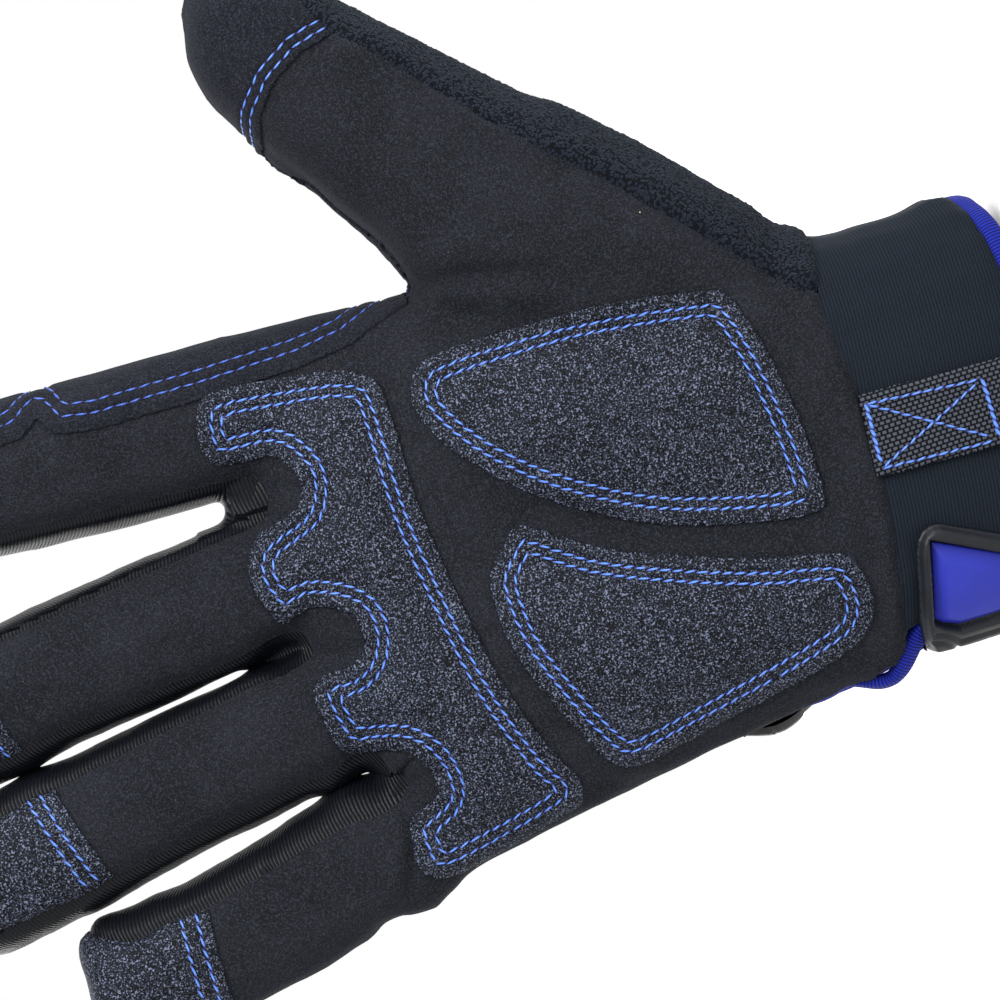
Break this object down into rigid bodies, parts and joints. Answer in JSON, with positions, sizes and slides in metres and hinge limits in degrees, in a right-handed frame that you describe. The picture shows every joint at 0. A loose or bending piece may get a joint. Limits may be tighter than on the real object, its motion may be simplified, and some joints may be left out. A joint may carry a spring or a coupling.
{
  "type": "mechanic work glove, right hand",
  "caption": "Close-fitting right-hand work glove in its worn shape: suede palm with stitched grained pads, ribbed finger sides, terry thumb, knit cuff with blue binding and a strap closure.",
  "frame": {"origin": "on the middle line of the cuff's opening, level with the palm side of its rim", "axes": "+Z from the wrist to the fingertips, +X towards the thumb, -Y out of the palm"},
  "size_m": [0.188, 0.0495, 0.2292],
  "materials": {
    "suede": "near-black microfibre suede, matt, with a fine nap",
    "stretch_knit": "black stretch knit, matt",
    "terry": "blue-black terry loops, matt",
    "ribbed_fabric": "black ribbed elastic fabric with a slight sheen",
    "grained_pad": "grey-blue coated fabric with a coarse raised grain",
    "neoprene": "black laminated neoprene with a fine knit face",
    "blue_binding": "ultramarine woven binding tape, finely ribbed",
    "webbing": "black woven polyester webbing",
    "moulded_rubber": "black moulded rubber, satin",
    "blue_rubber": "indigo moulded rubber, matt"
  },
  "bodies": {
    "root": {"palm_panel": "suede", "back_panel": "stretch_knit", "thumb_terry": "terry", "fourchette_index_middle": "ribbed_fabric", "fourchette_middle_ring": "ribbed_fabric", "fourchette_ring_little": "ribbed_fabric", "pad_knuckle": "grained_pad", "pad_thumb": "grained_pad", "pad_heel": "grained_pad", "tip_patch_middle": "grained_pad", "tip_patch_ring": "grained_pad", "tip_patch_little": "grained_pad", "thumb_tip_patch": "suede", "saddle_patch": "suede", "cuff": "neoprene", "cuff_binding": "blue_binding", "closure_tab": "moulded_rubber", "closure_insert": "blue_rubber", "closure_strap": "webbing", "pull_tab": "webbing", "back_guard": "moulded_rubber"}
  },
  "joints": []
}
